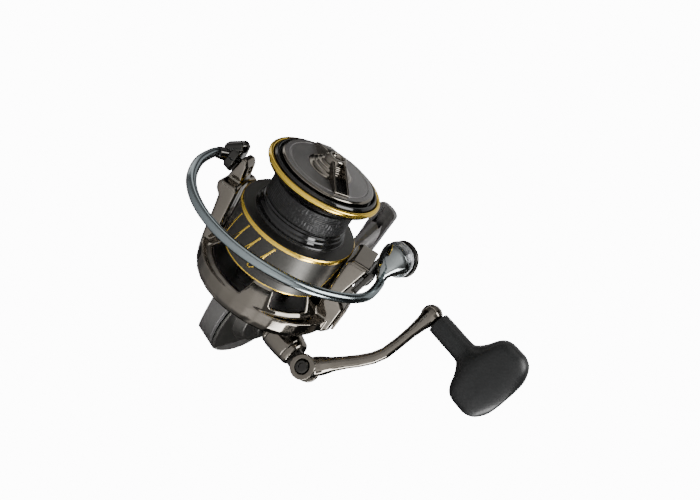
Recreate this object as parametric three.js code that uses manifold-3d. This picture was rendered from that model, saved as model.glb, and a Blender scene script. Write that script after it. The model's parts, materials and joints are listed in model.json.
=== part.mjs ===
// Front-drag spinning reel for a 3000 to 4000 size rod, as an assembly of separate pieces.
// Units are millimetres. +Z is up, +X points to the rod tip, +Y is the handle side.
// The origin is the centre of the foot's seat face, so the reel hangs below its foot.
// Most pieces are placed in the reel's own frame, whose origin is the middle of the
// spool lip, with X along the spool axis.

import * as THREE from 'three';
import { mergeVertices } from 'three/addons/utils/BufferGeometryUtils.js';
import Module from 'manifold-3d';

// ---------------------------------------------------------------- driving dimensions

const FOOT_CENTRE = 46; // from the spool lip back to the middle of the foot
const FOOT_LENGTH = 53;
const FOOT_WIDTH = 12.4;
const FOOT_THICKNESS = 2.8;
const AXIS_DROP = 65; // from the foot's seat face down to the spool axis

const GAP = 0.3; // between pieces that touch

const SHAFT_RADIUS = 2.0;
const SHAFT_REAR = -101.6;
const SHAFT_FRONT = 5.4;

const LIP_RADIUS = 25;
const SLEEVE_RADIUS = 18.5;
const SLEEVE_FRONT = -7;
const SLEEVE_REAR = -16;
const SKIRT_FRONT = -22.3;
const SKIRT_REAR = -43;
const SKIRT_RADIUS = 26.6;
const DRAG_WELL_RADIUS = 14;
const DRAG_WELL_FLOOR = -11;
const FELT_THICKNESS = 1.2;
const METAL_THICKNESS = 0.8;

const KNOB_RADIUS = 20.4;
const WING_ANGLE = -27; // the drag knob's wing, from +Y towards +Z

const ARM_ANGLE = 27; // plane of the two rotor arms, from +Y towards +Z
const HOOP_RADIUS = 31;
const HOOP_FRONT = -52;
const HOOP_REAR = -62;
const WEB_ANGLE = -50; // middle of the rotor's broad web

const BAIL_PIVOT_LEFT = [-16.8, -36]; // along the axis and out along the arm plane
const BAIL_PIVOT_RIGHT = [-28, 37];
const WIRE_RADIUS = 1.9;
const ROLLER_ANGLE = 84; // the line roller's axis, from +Y towards +Z
const ROLLER_CENTRE = [-11.6, 39, 18.8];
const WIRE_END = [-20.5, 40.4, 12.6]; // where the wire runs into the tip of its cone
const WIRE_START_OUT = -41.6; // the other end of the wire's chord, on the bail's pivot axis
const CONE_RADII = [ // share of the cone's length, and its radius there
  [0, 2.2], [0.2, 2.9], [0.45, 4.5], [0.7, 6.2], [0.9, 7.3], [1, 7.6],
];
const WIRE_LINE = [ // share of the chord, and depth of the hoop there
  [0, 5], [-0.012, 10], [-0.003, 20.2], [0.048, 30.9], [0.119, 37.9], [0.204, 42.4], [0.298, 44.9],
  [0.395, 45.6], [0.49, 44.8], [0.6, 42.5], [0.711, 38.8], [0.816, 33.1], [0.917, 25.1], [0.981, 16.2], [1.004, 5],
];

const CRANK_X = -78.3;
const CRANK_Z = 5.6;
const CRANK_ANGLE = 38; // the crank arm, from +X towards +Z
const CRANK_LENGTH = 59.3;
const FOLD_Y = 40.6;
const KNOB_Y = 63.2;
const KNOB_END_Y = 105.6;

const DRIVE_TEETH = 36;
const PINION_TEETH = 7;
const DRIVE_GEAR_RADIUS = 14.5;
const DRIVE_GEAR_FACE = 5.2; // height above the spool axis where the teeth start
const DRIVE_GEAR_BACK = 9;
const OSC_X = -86.5;
const OSC_Z = -4.7;
const OSC_PIN_THROW = 6.5;
const GUIDE_ROD = [3, -8.2]; // across and up from the spool axis

const CASE_LEFT = -12.6; // outer faces of the casing
const CASE_RIGHT = 6.9;
const SEAM_Y = 5.2; // where the casing meets the side cover
const COVER_Y = 11;
const WALL = 1.9;
const TAPER_START = -88; // behind this the casing's left side draws in
const TAPER_SLOPE = 0.37;

// ---------------------------------------------------------------- geometry helpers

const wasm = await Module();
wasm.setup();

const X_AXIS = new THREE.Vector3(1, 0, 0);
const Y_AXIS = new THREE.Vector3(0, 1, 0);
const Z_AXIS = new THREE.Vector3(0, 0, 1);
const rad = THREE.MathUtils.degToRad;

/** Unit vector square to the spool axis, at an angle from +Y towards +Z. */
function outward(angle) {
  return new THREE.Vector3(0, Math.cos(rad(angle)), Math.sin(rad(angle)));
}

/** A solid for joining and cutting, from a closed geometry, with its faces outward. */
function toSolid(shape) {
  if (!shape.isBufferGeometry) return shape;
  const bare = shape.clone();
  bare.deleteAttribute('uv');
  bare.deleteAttribute('normal');
  const merged = mergeVertices(bare, 1e-4);
  const place = merged.attributes.position;
  const a = new THREE.Vector3();
  const b = new THREE.Vector3();
  const c = new THREE.Vector3();
  const corners = [];
  let volume = 0;
  for (let i = 0; i < merged.index.count; i += 3) {
    const [p, q, r] = [0, 1, 2].map((k) => merged.index.getX(i + k));
    if (p === q || q === r || r === p) continue;
    a.fromBufferAttribute(place, p);
    b.fromBufferAttribute(place, q);
    c.fromBufferAttribute(place, r);
    volume += a.dot(b.cross(c));
    corners.push([p, q, r]);
  }
  const triVerts = Uint32Array.from(corners.flatMap(([p, q, r]) => (volume < 0 ? [p, r, q] : [p, q, r])));
  const vertProperties = Float32Array.from(place.array);
  return new wasm.Manifold(new wasm.Mesh({ numProp: 3, vertProperties, triVerts }));
}

/** The geometry of a solid. */
function toGeometry(body) {
  const mesh = body.getMesh();
  const geometry = new THREE.BufferGeometry();
  geometry.setAttribute('position', new THREE.BufferAttribute(Float32Array.from(mesh.vertProperties), 3));
  geometry.setIndex(new THREE.BufferAttribute(Uint32Array.from(mesh.triVerts), 1));
  return geometry;
}

function join(first, ...others) {
  return others.reduce((whole, extra) => whole.add(toSolid(extra)), toSolid(first));
}

function cut(first, ...tools) {
  return tools.reduce((whole, tool) => whole.subtract(toSolid(tool)), toSolid(first));
}

/** Turns a geometry made along X so that it lies along a direction, and moves it. */
function aim(geometry, direction, [x, y, z] = [0, 0, 0]) {
  const turn = new THREE.Quaternion().setFromUnitVectors(X_AXIS, direction.clone().normalize());
  return geometry.applyQuaternion(turn).translate(x, y, z);
}

/** Revolves a closed outline of [along, radius] points about the X axis. */
function revolve(outline, segments = 16) {
  const onAxis = outline[0][1] === 0;
  const points = (onAxis ? outline : [...outline, outline[0]]).map(([x, r]) => new THREE.Vector2(r, x));
  return new THREE.LatheGeometry(points, segments).rotateZ(-Math.PI / 2);
}

/** A tube or, without an inner radius, a rod along X. */
function tube(x0, x1, radius, inner = 0, segments = 16) {
  return revolve([[x0, inner], [x0, radius], [x1, radius], [x1, inner]], segments);
}

/** A tube or rod along Y, centred on the given X and Z. */
function tubeY(y0, y1, radius, inner = 0, [x, z] = [CRANK_X, CRANK_Z], segments = 16) {
  return aim(tube(y0, y1, radius, inner, segments), Y_AXIS, [x, 0, z]);
}

function box([x0, x1], [y0, y1], [z0, z1]) {
  const geometry = new THREE.BoxGeometry(x1 - x0, y1 - y0, z1 - z0);
  return geometry.translate((x0 + x1) / 2, (y0 + y1) / 2, (z0 + z1) / 2);
}

/** A flat outline in X and Z, given as a THREE.Shape, made solid between two Y values. */
function slabY(shape, y0, y1, bevel = 0) {
  const options = {
    depth: y1 - y0 - 2 * bevel,
    bevelEnabled: bevel > 0,
    bevelSize: bevel,
    bevelOffset: -bevel,
    bevelThickness: bevel,
    bevelSegments: 1,
    curveSegments: 8,
  };
  return new THREE.ExtrudeGeometry(shape, options).rotateX(Math.PI / 2).translate(0, y1 - bevel, 0);
}

/** A smooth closed outline through the given points. */
function smoothShape(points, divisions = 40) {
  const curve = new THREE.CatmullRomCurve3(points.map(([x, y]) => new THREE.Vector3(x, y, 0)), true);
  return new THREE.Shape(curve.getSpacedPoints(divisions).slice(0, -1).map((p) => new THREE.Vector2(p.x, p.y)));
}

function circleShape(radius, segments = 18, [x, y] = [0, 0]) {
  const points = [];
  for (let i = 0; i < segments; i += 1) {
    const angle = (2 * Math.PI * i) / segments;
    points.push(new THREE.Vector2(x + radius * Math.cos(angle), y + radius * Math.sin(angle)));
  }
  return new THREE.Shape(points);
}

/** The outline of a toothed wheel, with a round hole. */
function gearShape(teeth, root, tip, hole) {
  const points = [];
  for (let i = 0; i < teeth; i += 1) {
    for (const [share, radius] of [[0, root], [0.3, tip], [0.6, tip]]) {
      const angle = (2 * Math.PI * (i + share)) / teeth;
      points.push(new THREE.Vector2(radius * Math.cos(angle), radius * Math.sin(angle)));
    }
  }
  const shape = new THREE.Shape(points);
  shape.holes.push(circleShape(hole, 12));
  return shape;
}

/** Extrudes a shape along X between two places; the shape's x axis points to +Y. */
function slabX(shape, x0, x1) {
  const geometry = new THREE.ExtrudeGeometry(shape, { depth: x1 - x0, bevelEnabled: false, curveSegments: 8 });
  const turn = new THREE.Matrix4().makeBasis(Y_AXIS, Z_AXIS, X_AXIS);
  return geometry.applyMatrix4(turn).translate(x0, 0, 0);
}

/** A round bar along a curve. */
function bar(curve, radius, steps, sides = 10) {
  const options = { steps, bevelEnabled: false, extrudePath: curve };
  return new THREE.ExtrudeGeometry(circleShape(radius, sides), options);
}

function curveThrough(points, tension = 0.5) {
  const places = points.map((p) => (p.isVector3 ? p : new THREE.Vector3(...p)));
  return new THREE.CatmullRomCurve3(places, false, 'catmullrom', tension);
}

/** A closed skin over rings of points, all with the same number of points. */
function loft(rings) {
  const count = rings[0].length;
  const positions = rings.flat().flatMap((p) => [p.x, p.y, p.z]);
  const index = [];
  for (let i = 0; i + 1 < rings.length; i += 1) {
    for (let j = 0; j < count; j += 1) {
      const k = (j + 1) % count;
      const [a, b, c, d] = [i * count + j, i * count + k, (i + 1) * count + k, (i + 1) * count + j];
      index.push(a, b, c, a, c, d);
    }
  }
  const last = (rings.length - 1) * count;
  for (let j = 1; j + 1 < count; j += 1) {
    index.push(0, j + 1, j, last, last + j, last + j + 1);
  }
  const geometry = new THREE.BufferGeometry();
  geometry.setAttribute('position', new THREE.Float32BufferAttribute(positions, 3));
  geometry.setIndex(index);
  return geometry;
}

/** An oval ring of points about a centre, in the plane of two unit vectors. */
function ovalRing(centre, across, up, halfWidth, halfHeight, count = 16, power = 2) {
  const points = [];
  for (let i = 0; i < count; i += 1) {
    const angle = (2 * Math.PI * i) / count;
    const [c, s] = [Math.cos(angle), Math.sin(angle)];
    const x = Math.sign(c) * Math.abs(c) ** (2 / power) * halfWidth;
    const y = Math.sign(s) * Math.abs(s) ** (2 / power) * halfHeight;
    points.push(centre.clone().addScaledVector(across, x).addScaledVector(up, y));
  }
  return points;
}

/** A coil spring along X from x0 to x1. */
function coil(x0, x1, radius, wire, turns) {
  const points = [];
  for (let i = 0; i <= turns * 8; i += 1) {
    const angle = (2 * Math.PI * i) / 8;
    const x = x0 + wire + ((x1 - x0 - 2 * wire) * i) / (turns * 8);
    points.push([x, radius * Math.cos(angle), radius * Math.sin(angle)]);
  }
  return bar(curveThrough(points), wire, turns * 8, 5);
}

/** A ball bearing, closed by its shields, along X. */
function bearing(x0, x1, outer, inner) {
  const middle = (outer + inner) / 2;
  const dip = 0.4;
  return revolve([
    [x0, inner], [x0 + dip, middle], [x0, outer], [x1, outer], [x1 - dip, middle], [x1, inner],
  ], 16);
}

/** A screw along X, its head's top at x = 0 and its shank towards -X. */
function screw(headRadius, headHeight, shankRadius, length) {
  const socket = headRadius * 0.5;
  return revolve([
    [-headHeight * 0.6, 0], [-headHeight * 0.6, socket], [0, socket], [0, headRadius * 0.8],
    [-headHeight * 0.3, headRadius], [-headHeight, headRadius], [-headHeight, shankRadius],
    [-length, shankRadius], [-length, 0],
  ], 12);
}

// ---------------------------------------------------------------- the assembly

const reel = new THREE.Group();
reel.position.set(FOOT_CENTRE, 0, -AXIS_DROP);

const FINISH = {
  gunmetal: { color: 0x4a4642, roughness: 0.18, metalness: 1 },
  graphite: { color: 0x464440, roughness: 0.38, metalness: 0.8 },
  gold: { color: 0xd9b13c, roughness: 0.22, metalness: 1 },
  wire: { color: 0x8d9698, roughness: 0.3, metalness: 1 },
  steel: { color: 0xb4b6b8, roughness: 0.3, metalness: 1 },
  brass: { color: 0xc39a4b, roughness: 0.35, metalness: 1 },
  zinc: { color: 0x9a9c9e, roughness: 0.45, metalness: 1 },
  rubber: { color: 0x151515, roughness: 0.85, metalness: 0 },
  grip: { color: 0x1a1b1b, roughness: 0.75, metalness: 0 },
  felt: { color: 0x5b4a33, roughness: 0.95, metalness: 0 },
  plastic: { color: 0x1f1f20, roughness: 0.45, metalness: 0 },
};

/** Adds one piece to the reel, under its own name. */
function piece(name, shape, finish) {
  const material = new THREE.MeshStandardMaterial({ ...FINISH[finish], flatShading: true });
  const mesh = new THREE.Mesh(toGeometry(toSolid(shape)), material);
  mesh.name = name;
  reel.add(mesh);
}

// ---------------------------------------------------------------- spool and its bearing

function spoolShape() {
  const seat = LIP_RADIUS - 1.8;
  const core = SLEEVE_RADIUS - 1.6 - GAP;
  return revolve([
    [DRAG_WELL_FLOOR, DRAG_WELL_RADIUS], [0.4, DRAG_WELL_RADIUS], [0.4, 20.8], [2.1, 21.6],
    [1.4, seat - GAP], [-1.4, seat - GAP], [-1.4, LIP_RADIUS - 0.6], [-2.2, LIP_RADIUS - 1],
    [-4.2, 20.2], [-6.6, SLEEVE_RADIUS - 0.2], [-6.6, core], [SLEEVE_REAR - 0.4, core],
    [SLEEVE_REAR - 0.4, 18.3], [-19.6, 19.7], [SKIRT_FRONT, 20.4], [SKIRT_FRONT, 25.7],
    [SKIRT_FRONT - 0.7, 26.3], [SKIRT_REAR + 0.6, SKIRT_RADIUS], [SKIRT_REAR, 25.3], [SKIRT_FRONT - 2, 24.9],
    [SKIRT_FRONT - 2, 8.5], [-27, 8.5], [-27, 2.6], [-14.8, 2.6], [-14.8, 5.3], [DRAG_WELL_FLOOR, 5.3],
  ], 28);
}

function makeSpool() {
  const lip = LIP_RADIUS;
  piece('spool', spoolShape(), 'graphite');
  piece('spool_lip_ring', revolve([
    [-1.1, lip - 1.8], [-1.1, lip - 0.5], [-0.5, lip], [0.5, lip], [1.1, lip - 0.5], [1.1, lip - 1.8],
  ], 30), 'gold');
  piece('line_sleeve', tube(SLEEVE_REAR, SLEEVE_FRONT, SLEEVE_RADIUS, SLEEVE_RADIUS - 1.6, 28), 'rubber');
  piece('spool_bearing', bearing(-14.5, -11.4, 5, SHAFT_RADIUS + GAP), 'steel');
}

/** Felt and metal discs, packed in turn from the floor of the well. */
function makeDragStack() {
  const outer = DRAG_WELL_RADIUS - 0.6;
  const inner = SHAFT_RADIUS + 0.8;
  const stack = [
    ['drag_felt_1', FELT_THICKNESS, 'felt'], ['drag_disc_1', METAL_THICKNESS, 'steel'],
    ['drag_felt_2', FELT_THICKNESS, 'felt'], ['drag_disc_2', METAL_THICKNESS, 'steel'],
    ['drag_felt_3', FELT_THICKNESS, 'felt'],
  ];
  let x = DRAG_WELL_FLOOR + GAP;
  for (const [name, thickness, finish] of stack) {
    piece(name, tube(x, x + thickness, outer, inner, 16), finish);
    x += thickness + GAP;
  }
  piece('drag_snap_ring', tube(x, x + 0.7, outer + 0.3, outer - 0.8, 20), 'steel');
}

// ---------------------------------------------------------------- drag knob

function makeDragKnob() {
  const edge = KNOB_RADIUS;
  const body = revolve([
    [8.6, 0], [8.6, 2.2], [9.8, 2.2], [9.8, 4.4], [7.3, 5.4], [6.6, 6.9], [4.6, 8.7], [3.6, 9.6],
    [3.3, edge - 0.4], [2.9, edge], [0.9, edge - 0.4], [0.9, 9], [-3.6, 9], [-3.6, 6.3], [5, 6.3],
    [6.2, 3.4], [6.2, 0],
  ], 24);
  const side = new THREE.Shape([
    [-18, 3], [-17.4, 4.6], [-5, 8.6], [5, 8.6], [17.4, 4.6], [18, 3],
  ].map(([across, x]) => new THREE.Vector2(across, x)));
  const wing = new THREE.ExtrudeGeometry(side, { depth: 6.4, bevelEnabled: false }).translate(0, 0, -3.2);
  const along = outward(WING_ANGLE);
  wing.applyMatrix4(new THREE.Matrix4().makeBasis(along, X_AXIS, along.clone().cross(X_AXIS)));
  const cavity = revolve([[-3.7, 0], [-3.7, 6.3], [5, 6.3], [6.2, 3.4], [6.2, 0]], 24);
  piece('drag_knob', cut(join(body, wing), cavity), 'gunmetal');
  const nut = circleShape(4.8, 6);
  nut.holes.push(circleShape(SHAFT_RADIUS + GAP, 20));
  piece('drag_nut', slabX(nut, 1.7, 4.6), 'brass');
  piece('drag_spring', coil(-3.3, 1.3, 4.8, 0.5, 3), 'steel');
}

// ---------------------------------------------------------------- main shaft

function makeShaft() {
  piece('main_shaft', revolve([
    [SHAFT_REAR, 0], [SHAFT_REAR, SHAFT_RADIUS - 0.3], [SHAFT_REAR + 0.4, SHAFT_RADIUS],
    [SHAFT_FRONT - 0.4, SHAFT_RADIUS], [SHAFT_FRONT, SHAFT_RADIUS - 0.3], [SHAFT_FRONT, 0],
  ], 20), 'steel');
  piece('click_gear', slabX(gearShape(20, 5.6, 6.5, SHAFT_RADIUS + GAP), -30.4, -28.4), 'plastic');
  const block = box([-100.2, -96.2], [-4, 4.8], [-10.6, 3.6]);
  const plate = box([-96.8, -90.4], [-4.2, -2.5], [-11.8, 2]);
  const slot = box([OSC_X - OSC_PIN_THROW - 1.1, OSC_X - OSC_PIN_THROW + 1.1], [-5, -1], [-11.3, 3]);
  const shaftHole = tube(-104, -95, SHAFT_RADIUS + GAP, 0, 16);
  const rodHole = tube(-104, -95, 1.5, 0, 14).translate(0, ...GUIDE_ROD);
  piece('oscillation_slider', cut(join(block, plate), slot, shaftHole, rodHole), 'zinc');
  piece('slider_guide_rod', tube(-100.4, -69, 1.2, 0, 14).translate(0, ...GUIDE_ROD), 'steel');
}

function makeClickPawl() {
  const outline = new THREE.Shape([
    [-0.7, 6.9], [0.7, 6.9], [1.8, 11.6], [1.8, 14.6], [-1.8, 14.6], [-1.8, 11.6],
  ].map(([y, z]) => new THREE.Vector2(y, z)));
  outline.holes.push(circleShape(1.2, 12, [0, 13]));
  piece('click_pawl', slabX(outline, -29.9, -28.7), 'plastic');
  piece('click_pawl_pin', aim(screw(1.9, 0.7, 0.9, 6), X_AXIS.clone().negate(), [-30.9, 0, 13]), 'steel');
}

// ---------------------------------------------------------------- rotor

/** A frame whose x runs along the spool axis and whose y runs outward in the arm plane. */
function armFrame(angle) {
  const out = outward(angle);
  return new THREE.Matrix4().makeBasis(X_AXIS, out, X_AXIS.clone().cross(out));
}

/** A flat outline in that frame, made solid over a width centred on the arm plane. */
function armSlab(points, width, angle, bevel = 0, shift = 0) {
  const listed = Array.isArray(points);
  const shape = listed ? new THREE.Shape(points.map(([x, r]) => new THREE.Vector2(x, r))) : points;
  const options = {
    depth: width - 2 * bevel,
    bevelEnabled: bevel > 0,
    bevelSize: bevel,
    bevelOffset: -bevel,
    bevelThickness: bevel,
    bevelSegments: 1,
    curveSegments: 8,
  };
  const geometry = new THREE.ExtrudeGeometry(shape, options).translate(0, 0, shift - width / 2 + bevel);
  return geometry.applyMatrix4(armFrame(angle));
}

/** Direction of the bail's pivot axis, which leans in the arm plane. */
function bailAxis() {
  const [x0, r0] = BAIL_PIVOT_LEFT;
  const [x1, r1] = BAIL_PIVOT_RIGHT;
  return outward(ARM_ANGLE).multiplyScalar(r1 - r0).setX(x1 - x0).normalize();
}

/** A place on the bail's pivot axis, at a distance out from the spool axis. */
function onBailAxis(out) {
  const [x0, r0] = BAIL_PIVOT_LEFT;
  const [x1, r1] = BAIL_PIVOT_RIGHT;
  const x = x0 + ((out - r0) * (x1 - x0)) / (r1 - r0);
  return outward(ARM_ANGLE).multiplyScalar(out).setX(x);
}

/** A flat outline square to that axis, [forward, sideways], made solid over part of it. */
function bailPlate(shape, from, to) {
  const start = onBailAxis(from);
  const depth = onBailAxis(to).distanceTo(start);
  const side = outward(ARM_ANGLE + 90);
  const frame = new THREE.Matrix4().makeBasis(side.clone().cross(bailAxis()), side, bailAxis().negate());
  const geometry = new THREE.ExtrudeGeometry(shape, { depth, bevelEnabled: false }).translate(0, 0, -depth);
  return geometry.applyMatrix4(frame).translate(...start.toArray());
}

function pinOnBailAxis(from, to, radius, inner = 0, segments = 20) {
  const start = onBailAxis(from);
  const length = onBailAxis(to).distanceTo(start);
  return aim(tube(0, length, radius, inner, segments), bailAxis(), start.toArray());
}

const LEFT_ARM = [[-61, 28.6], [-43, 26], [-25, 26], [-23.6, 28], [-23.6, 34.4], [-25.5, 36.2], [-28.6, 35.6],
  [-31, 33.6], [-40, 33], [-52, 32.6], [-61, 31.6]];
const LEFT_NECK = [[-26, 28], [-15.6, 28.8], [-13.2, 30], [-13.2, 32.6], [-18, 33.8], [-26, 35.6]];
const RIGHT_ARM = [[-61, 28.6], [-43, 26], [-22, 26], [-20.2, 28], [-19.6, 36.1], [-38.2, 32.6],
  [-41, 35], [-43, 37.2], [-57, 37.2], [-60, 35], [-61, 33]];

function makeRotor() {
  const shell = revolve([
    [HOOP_REAR, 28.4], [HOOP_REAR, 29.2], [HOOP_REAR + 1.4, 30.2], [HOOP_REAR + 4, HOOP_RADIUS],
    [HOOP_FRONT - 0.8, HOOP_RADIUS],
    [HOOP_FRONT, 30.2], [-45.4, 23.6], [-40, 22.6], [-36.6, 20.4], [-35.4, 17], [-35.4, 4.3], [-43, 4.3],
    [-43, 7.6], [-37.6, 8.4], [-37.6, 16.4], [-41, 20.6], [-45, 21.6], [-51.4, 28.2],
  ], 32);
  const windows = [];
  for (const side of [0, 180]) {
    for (const [from, to] of [[ARM_ANGLE - 152, WEB_ANGLE - 13], [WEB_ANGLE + 9, ARM_ANGLE - 28]]) {
      const rings = [-43.4, -50.6].map((x) => {
        const inset = x === -43.4 ? 0 : -4;
        const [a, b] = [from + side - inset / 4, to + side + inset];
        return [[17, a], [36, a], [36, (a + b) / 2], [36, b], [17, b], [17, (a + b) / 2]]
          .map(([r, angle]) => outward(angle).multiplyScalar(r).setX(x));
      });
      windows.push(loft(rings));
    }
  }
  const skirtRoom = tube(-45, -5, SKIRT_RADIUS + 1.2, 20, 32);
  const hoopRoom = tube(-64, -51.4, 28.4, 0, 32);
  const shoulders = [[ARM_ANGLE, 5.6], [ARM_ANGLE + 180, 3]].map(([angle, shift]) => loft([
    [HOOP_REAR, 0.55, 29.2], [HOOP_REAR + 1.4, 0.8, 29.8], [HOOP_REAR + 4, 1, 30], [HOOP_FRONT, 1, 30],
  ].map(([x, share, radius]) => (
    ovalRing(outward(angle).multiplyScalar(shift * share).setX(x), Y_AXIS, Z_AXIS, radius, radius, 32)))));
  const arms = [
    armSlab(LEFT_ARM, 20, ARM_ANGLE + 180, 1.2), armSlab(LEFT_NECK, 9, ARM_ANGLE + 180, 0.8),
    armSlab(RIGHT_ARM, 19, ARM_ANGLE, 1.2),
  ];
  const sides = cut(join(...shoulders, ...arms), skirtRoom, hoopRoom);
  const springPocket = armSlab([[-56.3, 31], [-44.6, 31], [-44.6, 38], [-56.3, 38]], 11, ARM_ANGLE);
  const pivotHoles = [pinOnBailAxis(-40, -27, 1.6), pinOnBailAxis(27, 42, 1.6)];
  const rotor = cut(join(cut(shell, ...windows), sides), springPocket, ...pivotHoles);
  piece('rotor', rotor, 'gunmetal');
  const nut = circleShape(7.4, 6);
  nut.holes.push(circleShape(4.4, 20));
  piece('rotor_nut', slabX(nut, -35, -32.4), 'brass');
  const lid = [[-57.2, 37.5], [-56.2, 38.7], [-44.6, 38.7], [-43.6, 37.5]];
  piece('bail_spring_cover', armSlab(lid, 14, ARM_ANGLE, 0.2), 'gunmetal');
  const place = outward(ARM_ANGLE).multiplyScalar(32.8).addScaledVector(outward(ARM_ANGLE + 90), -2.8).setX(-55.8);
  piece('bail_spring', coil(0, 10.6, 1.2, 0.35, 6).translate(...place.toArray()), 'steel');
  const lever = [[-55.8, 31.6], [-55.8, 33], [-46, 33.4], [-45, 32.6], [-46, 31.6]];
  piece('bail_trip_lever', armSlab(lever, 2.4, ARM_ANGLE, 0, 2.6), 'zinc');
}

// ---------------------------------------------------------------- bail

/** The bail wire's middle line: a rounded hoop from the holder to the tip of the cone. */
function wirePoints() {
  const start = onBailAxis(WIRE_START_OUT);
  const end = new THREE.Vector3(...WIRE_END);
  const sag = outward(ARM_ANGLE - 90);
  const points = WIRE_LINE.map(([along, deep]) => start.clone().lerp(end, along).addScaledVector(sag, deep));
  return [...points, end];
}

function makeBail() {
  const rollerAxis = outward(ROLLER_ANGLE);
  const onRoller = (shape) => aim(shape, rollerAxis, ROLLER_CENTRE);
  const path = wirePoints();
  const holder = revolve([[-4.6, 0], [-4.6, 4.6], [-3.8, 5.8], [-1, 6.2], [0, 5.8], [0, 0]], 20);
  const root = onBailAxis(-37.4);
  const stalk = bar(curveThrough([root, root.clone().lerp(path[0], 0.6), path[0]]), WIRE_RADIUS + 0.5, 4, 8);
  const seat = aim(holder, bailAxis(), onBailAxis(-34.4).toArray());
  const holderHoles = [pinOnBailAxis(-42, -32, 1.6), pinOnBailAxis(-46, -39, 3.8)];
  piece('bail_holder', cut(join(seat, stalk), ...holderHoles), 'gunmetal');

  const mouth = new THREE.Vector3(...ROLLER_CENTRE).addScaledVector(rollerAxis, -1.4);
  const neck = new THREE.Vector3(...WIRE_END);
  const bend = mouth.clone().addScaledVector(rollerAxis, -6).lerp(neck, 0.35);
  const horn = new THREE.QuadraticBezierCurve3(neck, bend, mouth);
  const coneSkin = (grow) => loft(CONE_RADII.map(([share, radius]) => {
    const forward = share === 1 ? rollerAxis : horn.getTangent(share);
    const across = new THREE.Vector3().crossVectors(forward, X_AXIS).normalize();
    const up = new THREE.Vector3().crossVectors(across, forward);
    return ovalRing(horn.getPoint(share), across, up, radius + grow, radius + grow, 16);
  }));
  const coneHollows = [onRoller(tube(-9, 3, 1.8)), onRoller(tube(-3.4, 3, 6.8, 0, 20))];
  piece('bail_cone', cut(coneSkin(0), ...coneHollows), 'wire');
  const wire = bar(curveThrough(path), WIRE_RADIUS, 28, 8);
  const stalkRoom = bar(curveThrough([root, path[0], path[0].clone().lerp(path[1], 0.3)]), 3.2, 6, 8);
  const coneRoom = aim(tube(-0.3, 12, 8), horn.getTangent(0), WIRE_END);
  piece('bail_wire', cut(wire, stalkRoom, coneRoom), 'wire');
  piece('line_roller', onRoller(revolve([
    [-3.1, 3.5], [-3.1, 6.4], [-1.7, 5.1], [0.3, 5.1], [1.7, 6.4], [1.7, 3.5],
  ], 20)), 'steel');
  piece('roller_bearing', onRoller(bearing(-3, 1.6, 3.2, 1.8)), 'steel');
  piece('roller_screw', onRoller(screw(2.6, 1.2, 1.5, 12).translate(5.9, 0, 0)), 'steel');

  const plate = bailPlate(new THREE.Shape([
    [-10.4, -5.5], [-7.4, -8.5], [4, -8.5], [7, -5.5], [7, 5.5], [4, 8.5], [-7.4, 8.5], [-10.4, 5.5],
  ].map(([forward, side]) => new THREE.Vector2(forward, side))), 35.7, 38);
  const dome = onRoller(revolve([[2, 0], [2, 7.6], [3, 7.8], [4.3, 7], [5.2, 5.2], [5.6, 0]], 20));
  const elbow = onBailAxis(40.6).addScaledVector(outward(ARM_ANGLE + 90), 8).add(new THREE.Vector3(8, 0, 0));
  const back = new THREE.Vector3(...ROLLER_CENTRE).addScaledVector(rollerAxis, 4).addScaledVector(X_AXIS, -5);
  const link = bar(curveThrough([onBailAxis(37.4), elbow, back]), 2.2, 6, 8);
  const rollerRoom = onRoller(tube(-20, 2, 8.6, 0, 20));
  const screwSeat = onRoller(tube(1, 9, 1.8));
  const headSeat = onRoller(tube(4.4, 9, 2.9));
  const armHoles = [pinOnBailAxis(33, 44, 1.6), pinOnBailAxis(38.1, 50, 3.8)];
  const armBody = cut(join(cut(join(plate, link), rollerRoom), dome), coneSkin(GAP + 0.1));
  piece('bail_arm', cut(armBody, screwSeat, headSeat, ...armHoles), 'gunmetal');

  const leftPin = screw(3.4, 1.4, 1.3, 9.6);
  piece('bail_screw_left', aim(leftPin, bailAxis().negate(), onBailAxis(-40.6).toArray()), 'steel');
  const rightPin = screw(3.4, 1.4, 1.3, 10);
  piece('bail_screw_right', aim(rightPin, bailAxis(), onBailAxis(39.7).toArray()), 'steel');
}

// ---------------------------------------------------------------- gears and bearings

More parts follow.
